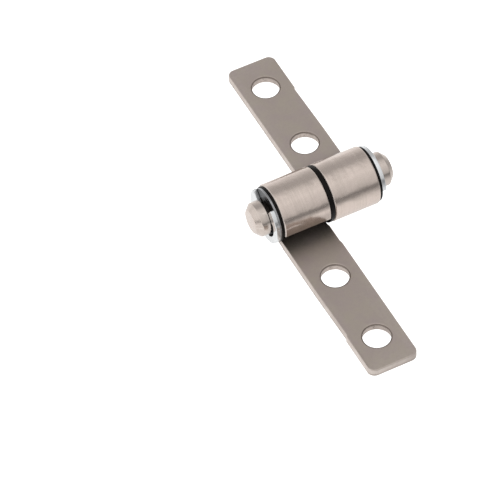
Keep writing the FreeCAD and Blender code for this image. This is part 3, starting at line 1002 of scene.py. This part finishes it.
@dataclass
class Pin:
    """The turned pin, with a chamfer at each end and a groove for each clip."""

    name: str
    sizes: HingeSizes
    node: str = "pin"
    body: str = "near_leaf"
    chamfer: float = 0.8
    groove_radius: float = 1.8
    groove_play: float = 0.05
    edge_break: float = 0.09
    groove_break: float = 0.04
    sides: int = 128

    def build(self, effects: Effects) -> bpy.types.Object:
        """Draw the pin out station by station, as a lathe would leave it."""
        box = Span.of(self.node)
        radius = box.radius
        stations = [(box.low.x + self.chamfer, radius)]
        for clip in ("e_clip_near", "e_clip_far"):
            span = Span.of(clip)
            start, end = span.low.x - self.groove_play, span.high.x + self.groove_play
            stations += [(start, radius), (start, self.groove_radius),
                         (end, self.groove_radius), (end, radius)]
        stations += [(box.high.x - self.chamfer, radius), (box.high.x, radius - self.chamfer)]

        here, size = box.low.x, radius - self.chamfer
        bench = Bench.disc(self.name, here, size, self.sizes, self.sides)
        bench.pick_all()
        for x, wide in stations:
            bench.extrude()
            bench.shift((x - here, 0.0, 0.0))
            bench.scale_about(self.sizes.axis + Vector((x, 0.0, 0.0)), wide / size)
            here, size = x, wide
        bench.seal()
        bench.pick_edges(lambda e: self._turns(e) and abs(e.verts[0].co.x) > box.high.x - 1.0)
        bench.soften(self.edge_break, 3)
        bench.pick_edges(lambda e: self._turns(e) and abs(e.verts[0].co.x) < box.high.x - 1.0)
        bench.soften(self.groove_break, 2)
        for finish in (PIN_TURNED, PIN_FACE, PIN_GROOVE):
            bench.obj.data.materials.append(shared_material(finish, effects))
        for slot, test in ((1, lambda f: abs(f.normal.x) > 0.9), (2, self._in_groove)):
            bench.pick_faces(test)
            bench.obj.active_material_index = slot
            bpy.ops.object.material_slot_assign()
        return bench.release()

    def _in_groove(self, face: bmesh.types.BMFace) -> bool:
        """Whether a face lies wholly inside a clip's groove."""
        reach = max((v.co - self.sizes.axis - Vector((v.co.x, 0.0, 0.0))).length
                    for v in face.verts)
        centre = abs(face.calc_center_median().x)
        return centre < Span.of(self.node).high.x - self.chamfer - self.edge_break and (
            reach < Span.of(self.node).radius - MERGE)

    @staticmethod
    def _turns(edge: bmesh.types.BMEdge) -> bool:
        """Whether an edge runs round the pin at a corner of its outline."""
        return (len(edge.link_faces) == 2 and edge.calc_face_angle(0.0) > math.radians(30.0)
                and abs(edge.verts[0].co.x - edge.verts[1].co.x) < MERGE)


@dataclass
class Ring:
    """A washer: a small rounded section spun once round the pin."""

    name: str
    node: str
    body: str
    sizes: HingeSizes
    finish: ResinFinish
    edge_break: float
    rim_finish: ResinFinish | MetalFinish | None = None
    clearance: float = 0.05
    steps: int = 144

    def build(self, effects: Effects) -> bpy.types.Object:
        """Spin the washer's section, with its corners rounded first."""
        box = Span.of(self.node)
        hole = Span.of("pin").radius + self.clearance
        bench = Bench.section(self.name, box.low.x, box.high.x, hole, box.radius,
                              self.sizes, math.pi / 2)
        bench.pick_all()
        bpy.ops.mesh.delete(type="ONLY_FACE")
        bench.pick_all()
        bpy.ops.mesh.bevel(offset=self.edge_break, segments=3, profile=0.5,
                           affect="VERTICES", clamp_overlap=True)
        bench.pick_all()
        bench.spin(self.sizes, math.tau, self.steps)
        for finish in (self.finish, self.rim_finish or self.finish):
            bench.obj.data.materials.append(shared_material(finish, effects))
        bench.pick_faces(self._on_rim)
        bench.obj.active_material_index = 1
        bpy.ops.object.material_slot_assign()
        return bench.release()

    def _on_rim(self, face: bmesh.types.BMFace) -> bool:
        """Whether a face is on the outer rim or its rounded corners."""
        centre = face.calc_center_median() - self.sizes.axis
        far_out = math.hypot(centre.y, centre.z) > Span.of(self.node).radius - self.edge_break
        return self.rim_finish is not None and far_out


@dataclass
class EClip:
    """An E-clip: a stamped spring ring with a mouth and three prongs."""

    name: str
    node: str
    body: str
    sizes: HingeSizes
    mouth_direction: float      # degrees from +Y towards +Z
    mouth: float = 84.0
    tip: float = 36.0
    prong: float = 40.0
    rim_radius: float = 4.0
    hollow_radius: float = 2.95
    seat_radius: float = 1.8
    corner: float = 0.22
    edge_break: float = 0.09
    steps: int = 84

    def build(self, effects: Effects) -> bpy.types.Object:
        """Spin the ring, draw its prongs in to the groove and round its corners."""
        box = Span.of(self.node)
        start = math.radians(self.mouth_direction - self.mouth / 2)
        bench = Bench.section(self.name, box.low.x, box.high.x, self.hollow_radius,
                              self.rim_radius, self.sizes, start)
        bench.pick_all()
        bench.spin(self.sizes, math.radians(360.0 - self.mouth), self.steps)
        bench.seal()
        bench.pick_faces(self._is_prong)
        bench.extrude()
        bench.scale_about(self.sizes.axis, self.seat_radius / self.hollow_radius)
        bench.seal()
        gauge = box.high.x - box.low.x
        bench.pick_edges(lambda e: len(e.link_faces) == 2
                         and e.calc_face_angle(0.0) > math.radians(30.0)
                         and abs(e.verts[0].co.x - e.verts[1].co.x) > gauge - MERGE)
        bench.soften(self.corner, 4)
        bench.pick_corners(50.0)
        bench.soften(self.edge_break, 3)
        bench.obj.data.materials.append(shared_material(CLIP_ZINC, effects))
        return bench.release()

    def _is_prong(self, face: bmesh.types.BMFace) -> bool:
        """Whether a face is on the hollow's wall where a prong stands."""
        centre = face.calc_center_median() - self.sizes.axis
        outward = Vector((0.0, centre.y, centre.z))
        if outward.length > self.hollow_radius + MERGE or face.normal.dot(outward) > 0.0:
            return False
        turn = math.degrees(math.atan2(centre.z, centre.y)) - self.mouth_direction
        off = abs((turn + 180.0) % 360.0 - 180.0)
        return off < self.mouth / 2 + self.tip or off > 180.0 - self.prong / 2


_MADE: dict[str, bpy.types.Material] = {}


def shared_material(finish: MetalFinish | ResinFinish,
                    effects: Effects) -> bpy.types.Material:
    """The finish's material, built the first time it is asked for."""
    if finish.name not in _MADE:
        _MADE[finish.name] = finish.material(effects)
    return _MADE[finish.name]


# ---------------------------------------------------------------- studio


@dataclass(frozen=True)
class Studio:
    """A pale floor, a soft surrounding light and the camera."""

    floor_side: float = 3.0
    floor_colour: float = 0.38
    floor_glow: float = 0.65    # painted light: the paper glows, as if lit from below as well
    floor_dim: float = 0.25     # share of its light left well in front of the hinge
    floor_falls: tuple[float, float, float] = (0.8, -0.6, 0.0)  # towards the dim side
    floor_reach: float = 100.0  # millimetres over which the light falls off
    floor_shades: tuple[tuple[float, float], ...] = (
        (0.06, 1.0), (0.11, 0.95), (0.155, 0.80), (0.215, 0.56), (0.28, 0.48),
        (0.45, 0.36))           # share of the reach, and of the light left there
    seen_glow: float = 0.5      # what the camera gets on top, to keep the paper white
    key_power: float = 2.4
    key_side: float = 0.9       # metres
    key_spot: tuple[float, float, float] = (-0.25, -0.15, 0.75)
    side_panel: float = 1.05    # a white card on the left, just above the floor
    panel_left: tuple[float, float] = (0.45, 0.8)
    panel_rise: tuple[float, float] = (0.06, 0.2)
    camera_spot: tuple[float, float, float] = (-163.10, -323.27, 424.04)   # millimetres
    azimuth: float = -24.99     # degrees; 0 looks along +Y
    elevation: float = 49.84
    roll: float = -2.67
    lens: float = 300.8

    @property
    def front(self) -> Vector:
        """The level direction from the hinge towards the camera."""
        turn = math.radians(self.azimuth)
        return Vector((math.sin(turn), -math.cos(turn), 0.0))

    def build(self) -> None:
        """Set up floor, light and camera."""
        self._floor()
        self._surround()
        self._softbox("key_softbox", Vector(self.key_spot), self.key_side, self.key_power)
        self._camera()

    def _floor(self) -> None:
        """A large plain pale floor just under the leaves; its glow is painted light, and in reflections its glow
        and colour fall off in front as painted shade.
        """
        Bench.clear()
        bpy.ops.mesh.primitive_plane_add(size=self.floor_side, location=(0.0, 0.0, -0.02 * MM))
        floor = bpy.context.object
        floor.name = "floor"
        made, graph, shader = start_material("floor_paper")
        place = graph.add("ShaderNodeTexCoord").outputs["Object"]
        ahead = graph.vector("DOT_PRODUCT", place, self.floor_falls).outputs["Value"]
        fall = graph.add("ShaderNodeValToRGB",
                         {0: graph.math("DIVIDE", ahead, self.floor_reach * MM, clamp=True)})
        points = fall.color_ramp.elements
        shades = (*self.floor_shades, (0.8, self.floor_dim))
        for _ in range(len(shades) - len(points)):
            points.new(0.5)
        for point, (spot, shade) in zip(points, shades):
            point.position = spot
            point.color = opaque((shade,) * 3)
        seen = graph.add("ShaderNodeLightPath").outputs["Is Camera Ray"]
        shade = graph.blend(seen, fall.outputs["Color"], opaque((1.0, 1.0, 1.0)))
        graph.feed(
            graph.blend(1.0, shade, opaque((self.floor_colour,) * 3), "MULTIPLY"),
            shader.inputs["Base Color"])
        shader.inputs["Roughness"].default_value = 0.9
        shader.inputs["Specular IOR Level"].default_value = 0.1
        shader.inputs["Emission Color"].default_value = opaque((1.0, 1.0, 1.0))
        glow = graph.math("ADD", graph.math("MULTIPLY", shade, self.floor_glow),
                          graph.math("MULTIPLY", seen, self.seen_glow))
        graph.feed(glow, shader.inputs["Emission Strength"])
        floor.data.materials.append(made)

    def _surround(self) -> None:
        """Light from all round: bright overhead, dim behind, a dark line in front."""
        world = bpy.data.worlds.new("studio_surround")
        bpy.context.scene.world = world
        world.use_nodes = True
        graph = Graph(world.node_tree)
        background = world.node_tree.nodes["Background"]
        direction = graph.add("ShaderNodeTexCoord").outputs["Generated"]
        unit = graph.vector("NORMALIZE", direction).outputs[0]
        parts = graph.add("ShaderNodeSeparateXYZ", {0: unit})
        rise = graph.math("ARCSINE", parts.outputs["Z"])
        height = graph.math("ADD", graph.math("DIVIDE", rise, math.pi), 0.5)
        facing = graph.vector("DOT_PRODUCT", unit, tuple(self.front)).outputs["Value"]
        behind = self._bands(graph, height, {
            -90: 0.9, -6: 0.88, 2: 0.90, 12: 0.76, 27: 0.60, 40: 0.51, 57: 0.51, 68: 0.72,
            76: 1.0, 90: 1.05})
        before = self._bands(graph, height, {
            -90: 0.9, -10: 0.55, -5: 0.20, 5: 0.27, 14: 0.64, 30: 0.76, 50: 0.86, 66: 1.0,
            90: 1.05})
        mixed = graph.blend(graph.remap(facing, -0.25, 0.25), behind, before)
        leftward = graph.remap(graph.math("MULTIPLY", parts.outputs["X"], -1.0),
                               *self.panel_left)
        above = graph.remap(parts.outputs["Z"], *self.panel_rise)
        share = graph.math("MULTIPLY", leftward, above)
        mixed = graph.blend(share, mixed, opaque((self.side_panel,) * 3))
        graph.feed(mixed, background.inputs["Color"])

    @staticmethod
    def _bands(graph: Graph, height: bpy.types.NodeSocket,
               stops: dict[int, float]) -> bpy.types.NodeSocket:
        """Brightness by height above the horizon, in degrees."""
        ramp = graph.add("ShaderNodeValToRGB", {0: height})
        ramp.color_ramp.interpolation = "EASE"
        points = ramp.color_ramp.elements
        for degrees, bright in list(stops.items())[1:-1]:
            points.new(degrees / 180.0 + 0.5).color = opaque((bright,) * 3)
        for index, (degrees, bright) in enumerate(stops.items()):
            points[index].position = degrees / 180.0 + 0.5
            points[index].color = opaque((bright,) * 3)
        return ramp.outputs["Color"]

    @staticmethod
    def _softbox(name: str, place: Vector, side: float, power: float) -> None:
        """A square area light that looks at the hinge; metal doesn't mirror it."""
        lamp = bpy.data.lights.new(name, "AREA")
        lamp.size = side
        lamp.energy = power
        box = bpy.data.objects.new(name, lamp)
        box.location = place
        box.rotation_euler = (-place).to_track_quat("-Z", "Y").to_euler()
        box.visible_glossy = False
        bpy.context.scene.collection.objects.link(box)

    def _camera(self) -> None:
        """The camera, at its spot and angle."""
        eye = bpy.data.cameras.new("camera")
        eye.lens = self.lens
        eye.sensor_width = 36.0
        eye.clip_start = 0.01
        camera = bpy.data.objects.new("camera", eye)
        camera.location = Vector(self.camera_spot) * MM
        level = Euler((math.radians(90.0 - self.elevation), 0.0,
                       math.radians(self.azimuth))).to_matrix()
        camera.rotation_euler = (
            level @ Matrix.Rotation(math.radians(self.roll), 3, "Z")).to_euler()
        bpy.context.scene.collection.objects.link(camera)
        bpy.context.scene.camera = camera


def place_piece(piece: bpy.types.Object, body: str, node: str) -> None:
    """Seat a finished piece on its body, in place of its CAD node."""
    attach(piece, body)
    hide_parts(node)
    LOG.info("%s: %d faces on %s", piece.name, len(piece.data.polygons), body)


def main() -> None:
    """Build the hinge and its studio, piece by piece."""
    logging.basicConfig(level=logging.INFO, format="%(name)s: %(message)s")
    bpy.context.scene.view_settings.view_transform = "Standard"
    sizes = HingeSizes.from_frame()
    effects = Effects(sizes)
    Studio().build()

    for node, turned in (("leaf_far", False), ("leaf_near", True)):
        body = "near_leaf" if turned else "far_leaf"
        leaf = Leaf(node + "_rolled", node, body, turned, sizes)
        place_piece(leaf.build(effects), leaf.body, leaf.node)

    pin = Pin("pin_turned", sizes)
    place_piece(pin.build(effects), pin.body, pin.node)

    for node, finish, rim, edge, slot in (
        ("centre_washer", WASHER_RESIN, None, 0.12, "washer_resin"),
        ("end_washer_near", WASHER_RESIN, None, 0.06, "washer_resin"),
        ("end_washer_far", WASHER_RESIN, None, 0.06, "washer_resin"),
        ("spring_washer", SPRING_STEEL, SPRING_RIM, 0.06, "spring_steel"),
    ):
        ring = Ring(node + "_ring", node, "near_leaf", sizes, finish, edge, rim)
        place_piece(ring.build(effects), ring.body, node)

    for node, direction in (("e_clip_near", 81.0), ("e_clip_far", 220.0)):
        clip = EClip(node + "_stamped", node, "near_leaf", sizes, direction)
        place_piece(clip.build(effects), clip.body, node)

    for node in ("sleeve_near", "sleeve_far"):
        sleeve = frame["nodes"][node]
        for slot in sleeve.material_slots:
            slot.material = shared_material(SLEEVE_RESIN, effects)
        LOG.info("%s: CAD node with its own finish", node)


if __name__ == "__main__":
    main()
